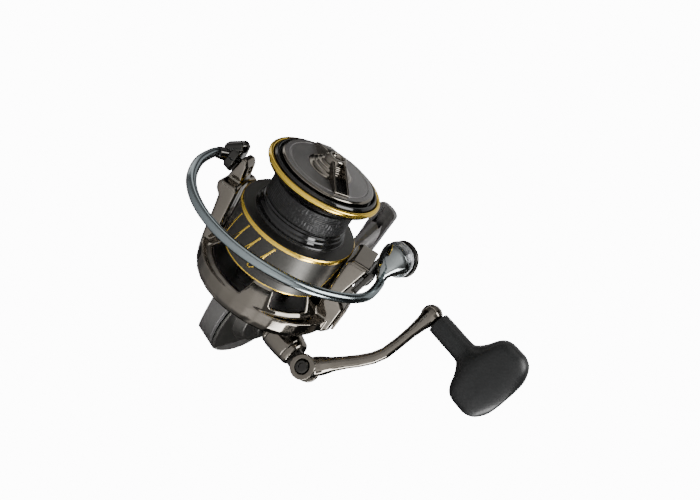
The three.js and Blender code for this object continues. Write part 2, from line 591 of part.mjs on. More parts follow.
function makeGears() {
  const teeth = gearShape(PINION_TEETH, 3.5, 4.7, SHAFT_RADIUS + GAP);
  const stem = revolve([
    [-70.6, SHAFT_RADIUS + GAP], [-70.6, 3.2], [-66.4, 3.2], [-61.6, 3.2], [-61.6, 4], [-31.8, 4],
    [-31.8, SHAFT_RADIUS + GAP],
  ], 16);
  piece('pinion_gear', join(stem, slabX(teeth, -66.6, -61.4)), 'brass');
  piece('clutch_sleeve', tube(-52.4, -46.4, 6.7, 4.3, 24), 'steel');
  piece('rotor_lock_washer', tube(-32.1, -31.4, 7, 4.4, 20), 'steel');
  piece('anti_reverse_clutch', bearing(-52.4, -47, 11.4, 7), 'steel');
  piece('pinion_bearing_front', bearing(-56.6, -52.8, 9, 4.3), 'steel');
  piece('pinion_bearing_rear', bearing(-70.4, -67.4, 4.9, 3.5), 'steel');
  const face = gearShape(DRIVE_TEETH, DRIVE_GEAR_RADIUS - 1.2, DRIVE_GEAR_RADIUS, 2.6);
  const small = gearShape(12, 3.4, 4.3, 2.6);
  const axle = tube(-11.9, 14.2, 3.2, 1.9, 16);
  const disc = tube(DRIVE_GEAR_FACE + 2, DRIVE_GEAR_BACK, DRIVE_GEAR_RADIUS - 1.4, 2.6, 24);
  const wheel = join(axle, slabX(face, DRIVE_GEAR_FACE, DRIVE_GEAR_FACE + 2.4), disc, slabX(small, -7.3, -4.7));
  piece('drive_gear', toGeometry(wheel).applyQuaternion(
    new THREE.Quaternion().setFromUnitVectors(X_AXIS, Y_AXIS),
  ).translate(CRANK_X, 0, CRANK_Z), 'zinc');
  const bearingY = (x0, x1) => aim(bearing(x0, x1, 7, 3.5), Y_AXIS, [CRANK_X, 0, CRANK_Z]);
  piece('drive_bearing_left', bearingY(-11.6, -8.2), 'steel');
  piece('drive_bearing_right', bearingY(9.9, 13.3), 'steel');
  const oscWheel = aim(slabX(gearShape(24, 7.6, 8.4, 1.8), -7.3, -4.7), Y_AXIS, [OSC_X, 0, OSC_Z]);
  const oscPin = tubeY(-5, -4.35, 0.8, 0, [OSC_X - OSC_PIN_THROW, OSC_Z], 12);
  piece('oscillation_gear', join(oscWheel, oscPin), 'zinc');
}

// ---------------------------------------------------------------- casing

const CASE_OUTLINE = [[-60, -13], [-68, -17], [-80, -19.6], [-92, -18.6], [-100.5, -14], [-104.6, -5],
  [-104.6, 5], [-99.6, 14], [-90, 20.5], [-78, 22.5], [-66, 19.5], [-60, 13]];
const CASE_MIDDLE = [-83, 1.5];
const REAR_SPLIT = -97;

/** The casing's outline, drawn in towards its middle on every side. */
function caseShape(inset = 0) {
  const [cx, cz] = CASE_MIDDLE;
  const points = CASE_OUTLINE.map(([x, z]) => {
    const reach = Math.hypot(x - cx, z - cz);
    const scale = (reach - inset) / reach;
    return [cx + (x - cx) * scale, cz + (z - cz) * scale];
  });
  return smoothShape(points, 28);
}

/** The stem that rises from the casing to the foot, as ovals from below upward. */
function stemShape() {
  const rings = [
    [-79, 14, 13, 5.4], [-76.6, 22, 11.5, 4.8], [-74, 31, 9.6, 4.2], [-70.6, 38, 8, 3.9], [-66, 44, 8, 3.7],
    [-59, 51, 9.6, 3.8], [-53, 56.6, 12.4, 4.3], [-49, 60.4, 16.4, 5.2], [-47, 62.6, 20, 5.8],
  ];
  return loft(rings.map(([x, z, halfLength, halfWidth]) => (
    ovalRing(new THREE.Vector3(x, 0, z), X_AXIS, Y_AXIS, halfLength, halfWidth, 14, 2.4))));
}

function footShape() {
  const half = FOOT_LENGTH / 2;
  const outline = new THREE.Shape();
  outline.moveTo(-FOOT_CENTRE - half + 3, -FOOT_WIDTH / 2 + 0.6);
  outline.lineTo(-FOOT_CENTRE + half - 3, -FOOT_WIDTH / 2);
  outline.quadraticCurveTo(-FOOT_CENTRE + half, -FOOT_WIDTH / 2, -FOOT_CENTRE + half, 0);
  outline.quadraticCurveTo(-FOOT_CENTRE + half, FOOT_WIDTH / 2, -FOOT_CENTRE + half - 3, FOOT_WIDTH / 2);
  outline.lineTo(-FOOT_CENTRE - half + 3, FOOT_WIDTH / 2 - 0.6);
  outline.quadraticCurveTo(-FOOT_CENTRE - half, FOOT_WIDTH / 2, -FOOT_CENTRE - half, 0);
  const rear = -FOOT_CENTRE - half;
  outline.quadraticCurveTo(rear, -FOOT_WIDTH / 2 + 0.6, rear + 3, -FOOT_WIDTH / 2 + 0.6);
  const options = { depth: FOOT_THICKNESS, bevelEnabled: false, curveSegments: 5 };
  return new THREE.ExtrudeGeometry(outline, options).translate(0, 0, AXIS_DROP - FOOT_THICKNESS);
}

/** What to cut from the left of the casing for its taper, moved in by the given amount. */
function taperTool(inset = 0) {
  const far = TAPER_START - 40;
  const outline = new THREE.Shape([
    [TAPER_START + 20, CASE_LEFT - TAPER_SLOPE * 20 + inset], [far, CASE_LEFT + TAPER_SLOPE * 40 + inset],
    [far, CASE_LEFT - 30], [TAPER_START + 20, CASE_LEFT - 30],
  ].map(([x, y]) => new THREE.Vector2(x, y)));
  return new THREE.ExtrudeGeometry(outline, { depth: 80, bevelEnabled: false }).translate(0, 0, -40);
}

/** What the casing's lower left edge loses to its slanted face. */
function bevelTool(inset = 0) {
  const line = [[-29, 14.6], [9.4, -41.4]].map(([y, z]) => [y + 0.825 * inset, z + 0.566 * inset]);
  const corners = [...line, [-40, -40], [-40, 16]].map(([y, z]) => new THREE.Vector2(y, z));
  return slabX(new THREE.Shape(corners), -120, -50);
}

function makeCasing() {
  const shell = cut(slabY(caseShape(), CASE_LEFT, SEAM_Y - GAP / 2, 1.4), taperTool(), bevelTool());
  const squareFace = slabY(caseShape(0.2), SEAM_Y - 3, SEAM_Y - GAP / 2);
  const nose = tube(-64, -45.4, 14.4, 0, 26);
  const frontPlate = tube(-59.9, -58.7, 27.5, 0, 32);
  const channel = box([-43, -21.6], [-3, 3], [AXIS_DROP - FOOT_THICKNESS - 1, AXIS_DROP - 1.4]);
  const rearChannel = box([-70.5, -63], [-3, 3], [AXIS_DROP - FOOT_THICKNESS - 1, AXIS_DROP - 1.4]);
  const hollow = cut(
    slabY(caseShape(WALL + 0.2), CASE_LEFT + WALL, SEAM_Y + 12), taperTool(WALL), bevelTool(WALL));
  const bearingBoss = tubeY(CASE_LEFT + 0.4, -7.8, 9);
  const cradle = box([-70.9, -66.9], [CASE_LEFT + 1, SEAM_Y - 0.5], [-10, 10]);
  const gearPost = tubeY(CASE_LEFT + 1, -5, 1.5, 0, [OSC_X, OSC_Z], 14);
  const bores = [
    tube(-61, -57, 5.4), tube(-57.2, -45, 9.3), tube(-52.7, -45, 11.7),
    tube(-64, -60.9, 6.2), tube(-71, -66, 5.2), tubeY(CASE_LEFT - 1, -7, 7.3),
    tube(-72, -66, 1.5).translate(0, ...GUIDE_ROD),
  ];
  const tail = box([-120, REAR_SPLIT + GAP / 2], [-30, 30], [-40, 40]);
  const body = cut(join(shell, squareFace, nose, frontPlate, stemShape(), footShape()), hollow);
  const housing = cut(join(body, bearingBoss, cradle, gearPost), ...bores, channel, rearChannel, tail);
  piece('housing', housing, 'gunmetal');

  const coverPlate = slabY(caseShape(), SEAM_Y + GAP / 2, CASE_RIGHT, 0.6);
  const boss = revolve([
    [5.6, 0], [5.6, 18.4], [6.8, 18.2], [COVER_Y - 0.4, 15.4], [COVER_Y, 14.8], [COVER_Y, 9.6], [14, 9.2],
    [14.5, 8.7], [14.5, 0],
  ], 28);
  const cover = join(coverPlate, aim(boss, Y_AXIS, [CRANK_X, 0, CRANK_Z]));
  const room = [
    tubeY(SEAM_Y - 1, 9.4, 14.9), tubeY(9, 13.7, 7.3),
    tubeY(13, 16, 4.2), tube(-66, -40, 14.8, 0, 26), tail,
  ];
  piece('side_cover', cut(cover, ...room), 'graphite');

  const tailShape = cut(slabY(caseShape(), CASE_LEFT, CASE_RIGHT, 1.4), taperTool(), bevelTool());
  const tailRoom = cut(
    slabY(caseShape(WALL + 0.2), CASE_LEFT + WALL, CASE_RIGHT - 1.5), taperTool(WALL), bevelTool(WALL));
  const front = box([REAR_SPLIT - GAP / 2, -40], [-30, 30], [-40, 40]);
  piece('rear_cover', cut(tailShape, tailRoom, front), 'graphite');

  piece('clutch_retainer', tube(-44.9, -43.9, 13.4, 5), 'steel');
  const cap = revolve([
    [-15, 0], [-15, 7.6], [-14.4, 8.6], [-12.7, 8.6], [-12.7, 6.9], [-11.9, 6.9], [-11.9, 0],
  ]);
  piece('crank_cap', aim(cap, Y_AXIS, [CRANK_X, 0, CRANK_Z]), 'gunmetal');
}

// ---------------------------------------------------------------- crank and knob

const CRANK_OUT = new THREE.Vector3(Math.cos(rad(CRANK_ANGLE)), 0, Math.sin(rad(CRANK_ANGLE)));
const FOLD_AXIS = new THREE.Vector3(Math.sin(rad(CRANK_ANGLE)), 0, -Math.cos(rad(CRANK_ANGLE)));

/** A place in the crank's plane: out along the arm, and along the crank's axis. */
function onCrank(out, y) {
  return new THREE.Vector3(CRANK_X, y, CRANK_Z).addScaledVector(CRANK_OUT, out);
}

/** A flat outline in the crank's plane, made solid between two places along the fold axis. */
function crankSlab(shape, from, to) {
  const options = { depth: to - from, bevelEnabled: false, curveSegments: 8 };
  const geometry = new THREE.ExtrudeGeometry(shape, options);
  const frame = new THREE.Matrix4().makeBasis(CRANK_OUT, Y_AXIS, FOLD_AXIS);
  return geometry.translate(0, 0, from).applyMatrix4(frame).translate(CRANK_X, 0, CRANK_Z);
}

function makeCrank() {
  const alongY = (shape) => aim(shape, Y_AXIS, [CRANK_X, 0, CRANK_Z]);
  const onFold = (shape) => aim(shape, FOLD_AXIS, [CRANK_X, FOLD_Y, CRANK_Z]);
  const foldPin = (radius, from, to) => onFold(tube(from, to, radius, 0, 18));
  const drum = alongY(revolve([
    [-8, 0], [-8, 1.6], [16, 1.6], [16, 7.4], [16.8, 8.4], [20, 8.6], [27, 7.8], [32, 6.9], [33.2, 6.2],
    [33.2, 0],
  ], 22));
  const tongueShape = new THREE.Shape();
  tongueShape.moveTo(-5.4, 32);
  tongueShape.lineTo(3, 32);
  tongueShape.lineTo(3, 36.4);
  tongueShape.lineTo(5.4, 39);
  tongueShape.lineTo(5.4, FOLD_Y);
  tongueShape.absarc(0, FOLD_Y, 5.4, 0, Math.PI, false);
  const tongue = crankSlab(tongueShape, -2.6, 2.6);
  piece('crank_hub', cut(join(drum, tongue), foldPin(2.1, -8, 8)), 'gunmetal');

  const path = curveThrough([
    onCrank(4, 43), onCrank(16.6, 50.8), onCrank(24.4, 55.6), onCrank(31, 58.2), onCrank(38, 58.8),
    onCrank(50, 58.8), onCrank(CRANK_LENGTH, 58.9),
  ]);
  const sizes = [[0, 5.4, 4.6], [0.06, 5.2, 4.3], [0.14, 3.9, 3.3], [0.24, 3.2, 2.9], [0.35, 3, 2.8],
    [0.45, 2.9, 2.7], [0.55, 2.8, 2.6], [0.68, 2.7, 2.5], [0.8, 2.8, 2.6], [0.9, 3.6, 3.2], [0.96, 4.3, 4]];
  const beam = loft(sizes.map(([share, halfWidth, halfHeight]) => {
    const up = new THREE.Vector3().crossVectors(FOLD_AXIS, path.getTangentAt(share)).normalize();
    return ovalRing(path.getPointAt(share), FOLD_AXIS, up, halfWidth, halfHeight, 12, 2.6);
  }));
  const earShape = new THREE.Shape();
  earShape.absarc(0, FOLD_Y, 6, 0.3, 2 * Math.PI + 0.3, false);
  const ears = [crankSlab(earShape, -5.6, -2.9), crankSlab(earShape, 2.9, 5.6)];
  const ball = new THREE.SphereGeometry(5.1, 12, 7).translate(...onCrank(CRANK_LENGTH, 58.9).toArray());
  const slotShape = new THREE.Shape();
  slotShape.absarc(0, FOLD_Y, 7, 0, Math.PI * 2, false);
  const slot = crankSlab(slotShape, -2.9, 2.9);
  const knobX = onCrank(CRANK_LENGTH, 0).x;
  const knobZ = onCrank(CRANK_LENGTH, 0).z;
  const knobAxis = [knobX, knobZ];
  const shaftSeat = tubeY(55.5, 66, 2.5, 0, knobAxis, 16);
  const arm = cut(join(cut(beam, slot), ...ears, ball), foldPin(2.1, -8, 8), foldPin(3.4, 4.9, 8), shaftSeat);
  piece('crank_arm', arm, 'gunmetal');
  const pin = screw(3.1, 1.3, 1.8, 11.6).translate(6.4, 0, 0);
  piece('fold_pin', onFold(pin), 'steel');
  piece('knob_shaft', tubeY(55.8, 90, 2.2, 0, knobAxis, 16), 'steel');
  piece('knob_bush_inner', tubeY(63.6, 67.4, 4.2, 2.5, knobAxis, 16), 'brass');
  piece('knob_bush_outer', tubeY(84, 87.6, 4.2, 2.5, knobAxis, 16), 'brass');
  piece('knob_retainer', tubeY(88, 89.6, 4, 2.5, knobAxis, 16), 'steel');
  const wide = new THREE.Vector3(Math.cos(rad(11)), 0, Math.sin(rad(11)));
  const thick = new THREE.Vector3(-wide.z, 0, wide.x);
  const profile = [[KNOB_Y, 5, 5], [KNOB_Y + 0.6, 5.3, 5.3], [79, 5.3, 5.3], [81.6, 6.2, 5.8], [84.2, 10, 6.8],
    [86.4, 15, 7.6], [89, 17.7, 8], [93, 18.6, 8.1], [98, 18.4, 7.9], [101.8, 16.4, 7.4], [104.2, 12.4, 6.5],
    [105.2, 8.6, 5.4], [KNOB_END_Y, 5.4, 4.6]];
  const grip = loft(profile.map(([y, a, b]) => (
    ovalRing(new THREE.Vector3(knobX, y, knobZ), wide, thick, a, b, 18, y < 81 || y > 105 ? 2 : 2.3))));
  const gripBore = tubeY(60, 107, 4.5, 0, knobAxis, 16);
  piece('knob_grip', cut(grip, gripBore), 'grip');
  piece('knob_cap', tubeY(100, 105.2, 4.2, 0, knobAxis, 16), 'plastic');
}

// ---------------------------------------------------------------- the group

makeSpool();
makeDragStack();
makeDragKnob();
makeShaft();
makeClickPawl();
makeRotor();
makeBail();
makeGears();
makeCasing();
makeCrank();

const group = new THREE.Group();
group.add(reel);

export default group;
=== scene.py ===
"""Looks of the spinning reel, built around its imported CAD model. Lengths in the tables are millimetres
in the reel's own frame: X along the spool axis, from the middle of the spool's lip, +Y the handle side."""

import json
import math
import random

import bmesh
import bpy
from mathutils import Matrix, Vector


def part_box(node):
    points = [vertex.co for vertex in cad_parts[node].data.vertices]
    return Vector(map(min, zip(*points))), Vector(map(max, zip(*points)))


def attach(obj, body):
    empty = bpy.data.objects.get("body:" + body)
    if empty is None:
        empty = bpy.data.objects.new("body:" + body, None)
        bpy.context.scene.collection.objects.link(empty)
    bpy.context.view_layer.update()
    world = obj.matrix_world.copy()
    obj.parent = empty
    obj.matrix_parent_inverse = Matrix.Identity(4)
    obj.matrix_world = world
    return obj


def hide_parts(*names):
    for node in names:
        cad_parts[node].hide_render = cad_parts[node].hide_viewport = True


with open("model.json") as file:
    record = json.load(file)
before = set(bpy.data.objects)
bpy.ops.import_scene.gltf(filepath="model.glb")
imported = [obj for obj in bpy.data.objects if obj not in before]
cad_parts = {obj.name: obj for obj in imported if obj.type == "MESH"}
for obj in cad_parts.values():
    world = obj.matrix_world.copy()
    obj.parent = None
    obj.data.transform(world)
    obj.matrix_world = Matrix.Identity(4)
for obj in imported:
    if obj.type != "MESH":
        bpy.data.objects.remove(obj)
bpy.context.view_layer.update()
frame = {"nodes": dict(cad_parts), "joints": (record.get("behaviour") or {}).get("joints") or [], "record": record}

MM = 0.001
low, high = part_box("spool_lip_ring")
ORIGIN = (low + high) / 2
BODY_OF = {node: body for body, nodes in frame["record"]["behaviour"]["bodies"].items() for node in nodes}
JOINT = {joint["name"]: joint for joint in frame["joints"]}

ARM_ANGLE = 27
WING_ANGLE = -27
CRANK_ANGLE = 38
KNOB_ANGLE = 11
SKIRT_RADIUS = 26.6
SLEEVE_RADIUS = 18.5
SLEEVE_FRONT = -7
SLEEVE_REAR = -16
WIRE_RADIUS = 1.9
GILL_GROUPS = 3
GILLS = 4
FIRST_GILL = -106.7
GILL_PITCH = 15.6
GILL_SLOPE = 0.9  # degrees round the skirt for each millimetre along it
GILL_FRONT = -25
GILL_LENGTH = 14.6
GILL_STEPS = 28
SLEEVE_CELLS = 78
SLEEVE_LINES = 11
DASH_HEIGHT = 0.16
BORDER_HEIGHT = 0.1


def level(angle):
    """Unit vector square to the crank's axis, from +X towards +Z."""
    return Vector((math.cos(math.radians(angle)), 0, math.sin(math.radians(angle))))


def at(x, y, z):
    """A place in the reel's frame, in metres in the row frame."""
    return ORIGIN + Vector((x, y, z)) * MM


def outward(angle):
    """Unit vector square to the spool axis, from +Y towards +Z."""
    return Vector((0, math.cos(math.radians(angle)), math.sin(math.radians(angle))))


# ---------------------------------------------------------------- materials

PATCH_SCALE = 60


def material(name, color, metallic, rough, vary=0.06, grain=0.0, grain_scale=2500, tint=0.12):
    """A procedural finish: cloudy colour and roughness, with a fine bump."""
    made = bpy.data.materials.new(name)
    made.use_nodes = True
    nodes = made.node_tree.nodes
    links = made.node_tree.links
    shader = nodes["Principled BSDF"]
    shader.inputs["Metallic"].default_value = metallic
    spot = nodes.new("ShaderNodeTexCoord").outputs["Object"]
    cloud = nodes.new("ShaderNodeTexNoise")
    cloud.inputs["Scale"].default_value = PATCH_SCALE
    cloud.inputs["Detail"].default_value = 6
    links.new(spot, cloud.inputs["Vector"])
    ramp = nodes.new("ShaderNodeValToRGB")
    ramp.color_ramp.elements[0].position = 0.3
    ramp.color_ramp.elements[1].position = 0.7
    ramp.color_ramp.elements[0].color = [c * (1 - tint) for c in color] + [1]
    ramp.color_ramp.elements[1].color = [min(1, c * (1 + tint)) for c in color] + [1]
    links.new(cloud.outputs["Fac"], ramp.inputs["Fac"])
    links.new(ramp.outputs["Color"], shader.inputs["Base Color"])
    fine = nodes.new("ShaderNodeTexNoise")
    fine.inputs["Scale"].default_value = PATCH_SCALE * 6
    fine.inputs["Detail"].default_value = 8
    links.new(spot, fine.inputs["Vector"])
    spread = nodes.new("ShaderNodeMapRange")
    spread.inputs["To Min"].default_value = max(0.02, rough - vary)
    spread.inputs["To Max"].default_value = rough + vary
    links.new(fine.outputs["Fac"], spread.inputs["Value"])
    links.new(spread.outputs["Result"], shader.inputs["Roughness"])
    if grain:
        speck = nodes.new("ShaderNodeTexNoise")
        speck.inputs["Scale"].default_value = grain_scale
        speck.inputs["Detail"].default_value = 3
        links.new(spot, speck.inputs["Vector"])
        bump = nodes.new("ShaderNodeBump")
        bump.inputs["Strength"].default_value = grain
        bump.inputs["Distance"].default_value = 0.0001
        links.new(speck.outputs["Fac"], bump.inputs["Height"])
        links.new(bump.outputs["Normal"], shader.inputs["Normal"])
    return made


CHROME = material("black_chrome", (0.19, 0.172, 0.148), 1, 0.1, 0.03, 0.02, 1800)
DARK_CHROME = material("dark_chrome", (0.055, 0.053, 0.05), 1, 0.14, 0.04, 0.03, 1800)
GRAPHITE = material("graphite_paint", (0.066, 0.064, 0.059), 0.9, 0.38, 0.05, 0.1, 3200)
CASING = material("casing_paint", (0.2, 0.194, 0.19), 0.85, 0.34, 0.05, 0.15, 3000)
JET = material("jet_black", (0.004, 0.004, 0.004), 0, 0.1, 0.04)
GOLD = material("gold_anodised", (0.93, 0.63, 0.09), 1, 0.2, 0.05, 0.05, 2600, 0.06)
BAIL = material("bail_metal", (0.25, 0.29, 0.305), 1, 0.17, 0.05, 0.05, 2200, 0.06)
CONE = material("cone_chrome", (0.30, 0.325, 0.325), 1, 0.12, 0.03, 0.03, 2200, 0.05)
STEEL = material("steel", (0.55, 0.56, 0.57), 1, 0.28, 0.06, 0.08, 2600)
BRASS = material("brass", (0.62, 0.43, 0.16), 1, 0.3, 0.06, 0.08, 2600)
ZINC = material("zinc", (0.46, 0.47, 0.48), 1, 0.42, 0.06, 0.2, 1500)
RUBBER = material("rubber", (0.004, 0.004, 0.004), 0, 0.42, 0.08, 0.2, 1600, 0.3)
GRIP = material("soft_grip", (0.0035, 0.0038, 0.0042), 0, 0.44, 0.05, 0.22, 2800, 0.25)
FELT = material("felt", (0.19, 0.13, 0.07), 0, 0.95, 0.04, 0.8, 1400, 0.3)
PLASTIC = material("black_plastic", (0.02, 0.02, 0.021), 0, 0.4, 0.06, 0.2, 1800, 0.25)

SLOT_FINISH = {
    "black_chrome": CHROME, "graphite_paint": GRAPHITE, "gold_anodised": GOLD, "bail_metal": BAIL,
    "steel": STEEL, "brass": BRASS, "zinc": ZINC, "rubber": RUBBER, "soft_grip": GRIP, "felt": FELT,
    "black_plastic": PLASTIC,
}
SLOT_OF = {entry["node"]: entry["material_slot"] for entry in frame["record"]["subparts"]}


# ---------------------------------------------------------------- mesh helpers


def wear(mesh, finish):
    """Gives a mesh its finish, or its list of finishes."""
    mesh.materials.clear()
    for one in finish if isinstance(finish, list) else [finish]:
        mesh.materials.append(one)


def add(name, verts, faces, finish, body, replaced=(), smooth=True, marks=None):
    """A closed piece from its points in metres, riding on a CAD body. Marks pick a finish for each face."""
    mesh = bpy.data.meshes.new(name)
    mesh.from_pydata([tuple(v) for v in verts], [], faces)
    wear(mesh, finish)
    if marks:
        mesh.polygons.foreach_set("material_index", marks)
    made = bmesh.new()
    made.from_mesh(mesh)
    bmesh.ops.recalc_face_normals(made, faces=made.faces)
    made.to_mesh(mesh)
    made.free()
    return place(name, mesh, body, replaced, smooth)


def place(name, mesh, body, replaced=(), smooth=True):
    """Links a mesh as a piece, and weights its normals by face area."""
    obj = bpy.data.objects.new(name, mesh)
    bpy.context.scene.collection.objects.link(obj)
    if smooth:
        mesh.polygons.foreach_set("use_smooth", [True] * len(mesh.polygons))
        obj.modifiers.new("normals", "WEIGHTED_NORMAL").keep_sharp = True
    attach(obj, body)
    if replaced:
        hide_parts(*replaced)
    return obj


def rounded(profile, radius, closed):
    """The profile with each corner turned into a small arc."""
    points = [Vector((x, r, 0)) for x, r in profile]
    made = []
    count = len(points)
    for i, here in enumerate(points):
        if not closed and i in (0, count - 1):
            made.append((here.x, here.y))
            continue
        before, after = points[i - 1] - here, points[(i + 1) % count] - here
        if before.length < 1e-6 or after.length < 1e-6:
            continue
        turn = math.pi - before.angle(after)
        if turn < 0.2:
            made.append((here.x, here.y))
            continue
        cut = min(radius, before.length * 0.42, after.length * 0.42)
        first, last = here + before.normalized() * cut, here + after.normalized() * cut
        for t in (0, 0.33, 0.67, 1):
            spot = first.lerp(here, t).lerp(here.lerp(last, t), t)
            made.append((spot.x, max(0, spot.y)))
    return made


def lathe(name, profile, finish, body, replaced=(), basis=None, origin=(0, 0, 0), segments=128, corner=0.18,
          choose=None):
    """A turned piece: (along, radius) points about an axis through origin, +X unless basis says otherwise."""
    closed = not (profile[0][1] == 0 and profile[-1][1] == 0)
    points = rounded(profile, corner, closed)
    basis = basis or Matrix.Identity(3)
    verts, rows = [], []
    for x, r in points:
        if r < 1e-6:
            rows.append([len(verts)] * segments)
            verts.append(Vector((x, 0, 0)))
            continue
        rows.append(list(range(len(verts), len(verts) + segments)))
        for k in range(segments):
            angle = 2 * math.pi * k / segments
            verts.append(Vector((x, r * math.cos(angle), r * math.sin(angle))))
    faces, marks = [], []
    last = len(rows) if closed else len(rows) - 1
    for i in range(last):
        a, b = rows[i], rows[(i + 1) % len(rows)]
        middle = [(points[i][n] + points[(i + 1) % len(points)][n]) / 2 for n in (0, 1)]
        for k in range(segments):
            n = (k + 1) % segments
            face = []
            for v in (a[k], a[n], b[n], b[k]):
                if v not in face:
                    face.append(v)
            if len(face) > 2:
                faces.append(face)
                marks.append(choose(*middle) if choose else 0)
    world = [ORIGIN + (basis @ v + Vector(origin)) * MM for v in verts]
    return add(name, world, faces, finish, body, replaced, marks=marks)


def facing(direction):
    """Rotation that takes +X to a direction."""
    return Vector((1, 0, 0)).rotation_difference(Vector(direction)).to_matrix()


def curve_point(p0, p1, p2, p3, t):
    """A place on the smooth curve from p1 to p2, at a share t."""
    return 0.5 * (2 * p1 + (p2 - p0) * t + (2 * p0 - 5 * p1 + 4 * p2 - p3) * t * t
                  + (3 * p1 - p0 - 3 * p2 + p3) * t ** 3)


def boxy_circle(sides, wide, tall, power):
    """Points (a, b) round an oval. A power over 2 squares its corners."""
    made = []
    for k in range(sides):
        c, s = math.cos(2 * math.pi * k / sides), math.sin(2 * math.pi * k / sides)
        a, b = math.copysign(abs(c) ** (2 / power), c), math.copysign(abs(s) ** (2 / power), s)
        made.append((a * wide, b * tall))
    return made


def smooth_line(points, count):
    """Evenly spaced places on a curve through the points."""
    fine = []
    count_in = len(points)
    for i in range(count_in - 1):
        p0, p1 = points[max(0, i - 1)], points[i]
        p2, p3 = points[i + 1], points[min(count_in - 1, i + 2)]
        for k in range(24):
            fine.append(curve_point(p0, p1, p2, p3, k / 24))
    fine.append(points[-1])
    walked = [0.0]
    for a, b in zip(fine, fine[1:]):
        walked.append(walked[-1] + (b - a).length)
    made, j = [], 0
    for i in range(count):
        goal = walked[-1] * i / (count - 1)
        while j < len(walked) - 2 and walked[j + 1] < goal:
            j += 1
        share = (goal - walked[j]) / max(1e-9, walked[j + 1] - walked[j])
        made.append(fine[j].lerp(fine[j + 1], min(1, share)))
    return made


def rings_along(line, size_at, sides, power=2.0):
    """Rings square to a line. size_at gives (half width, half height) at a share of the line."""
    rings = []
    for i, spot in enumerate(line):
        forward = (line[min(i + 1, len(line) - 1)] - line[max(i - 1, 0)]).normalized()
        across = forward.cross(Vector((1, 0, 0))).normalized()
        over = across.cross(forward)
        wide, tall = size_at(i / (len(line) - 1))
        rings.append([spot + across * a + over * b for a, b in boxy_circle(sides, wide, tall, power)])
    return rings


def skin(name, rings, finish, body, replaced=()):
    """A closed skin over rings with the same number of points, in millimetres."""
    sides = len(rings[0])
    verts = [ORIGIN + v * MM for ring in rings for v in ring]
    faces = []
    for i in range(len(rings) - 1):
        for k in range(sides):
            n = (k + 1) % sides
            faces.append((i * sides + k, i * sides + n, (i + 1) * sides + n, (i + 1) * sides + k))
    faces.append(tuple(range(sides - 1, -1, -1)))
    faces.append(tuple((len(rings) - 1) * sides + k for k in range(sides)))
    return add(name, verts, faces, finish, body, replaced)


def slab(name, outline, thickness, basis, origin, finish, body, edge):
    """A plate with rounded edges: outline in the basis's first two axes, (from, to) on its third."""
    low_z, high_z = thickness
    count = len(outline)
    verts = [Vector((x, y, z)) for z in (low_z, high_z) for x, y in outline]
    faces = [tuple(range(count - 1, -1, -1)), tuple(range(count, 2 * count))]
    for k in range(count):
        n = (k + 1) % count
        faces.append((k, n, count + n, count + k))
    world = [ORIGIN + (basis @ v + Vector(origin)) * MM for v in verts]
    bevel(add(name, world, faces, finish, body, smooth=False), edge)


def bevel(obj, width, angle=28):
    """Rounds an object's sharper edges and shades it smooth."""
    shape = obj.modifiers.new("edges", "BEVEL")
    shape.width = width * MM
    shape.segments = 3
    shape.limit_method = "ANGLE"
    shape.angle_limit = math.radians(angle)
    shape.use_clamp_overlap = True
    obj.data.polygons.foreach_set("use_smooth", [True] * len(obj.data.polygons))
    obj.modifiers.new("normals", "WEIGHTED_NORMAL").keep_sharp = True


def settled(obj):
    """The mesh an object shows, with its modifiers in it."""
    bpy.context.view_layer.update()
    graph = bpy.context.evaluated_depsgraph_get()
    return bpy.data.meshes.new_from_object(obj.evaluated_get(graph))


def softened(node, finish, voxel, passes):
    """A CAD node's shape with fine, even faces and softly rounded edges."""
    mesh = frame["nodes"][node].data.copy()
    mesh.materials.clear()
    rough = bpy.data.objects.new(node + "_rough", mesh)
    bpy.context.scene.collection.objects.link(rough)
    weld = rough.modifiers.new("weld", "WELD")
    weld.merge_threshold = 1e-6
    grid = rough.modifiers.new("grid", "REMESH")
    grid.mode = "VOXEL"
    grid.voxel_size = voxel * MM
    ease = rough.modifiers.new("ease", "SMOOTH")
    ease.factor = 0.5
    ease.iterations = passes
    fine = settled(rough)
    bpy.data.objects.remove(rough)
    wear(fine, finish)
    place(node + "_skin", fine, BODY_OF[node], [node])


def edged(node, finish, width, angle):
    """A CAD node's shape with its edges rounded."""
    mesh = frame["nodes"][node].data.copy()
    mesh.materials.clear()
    made = bmesh.new()
    made.from_mesh(mesh)
    bmesh.ops.remove_doubles(made, verts=made.verts, dist=2e-6)
    bmesh.ops.dissolve_limit(made, angle_limit=math.radians(1.5), verts=made.verts, edges=made.edges)
    made.to_mesh(mesh)
    made.free()
    wear(mesh, finish)
    bevel(place(node + "_skin", mesh, BODY_OF[node], [node], smooth=False), width, angle)


# ---------------------------------------------------------------- spool

SPOOL = "spool_group"


def spool_finish(x, r):
    """0 satin graphite, 1 glossy black, 2 dark chrome."""
    if x > -0.2 and r > 14.5:
        return 1
    if -6.9 < x < -1.2 and r > 17:
        return 2
    if -22.2 < x < -16 and r < 20.6:
        return 1
    return 0


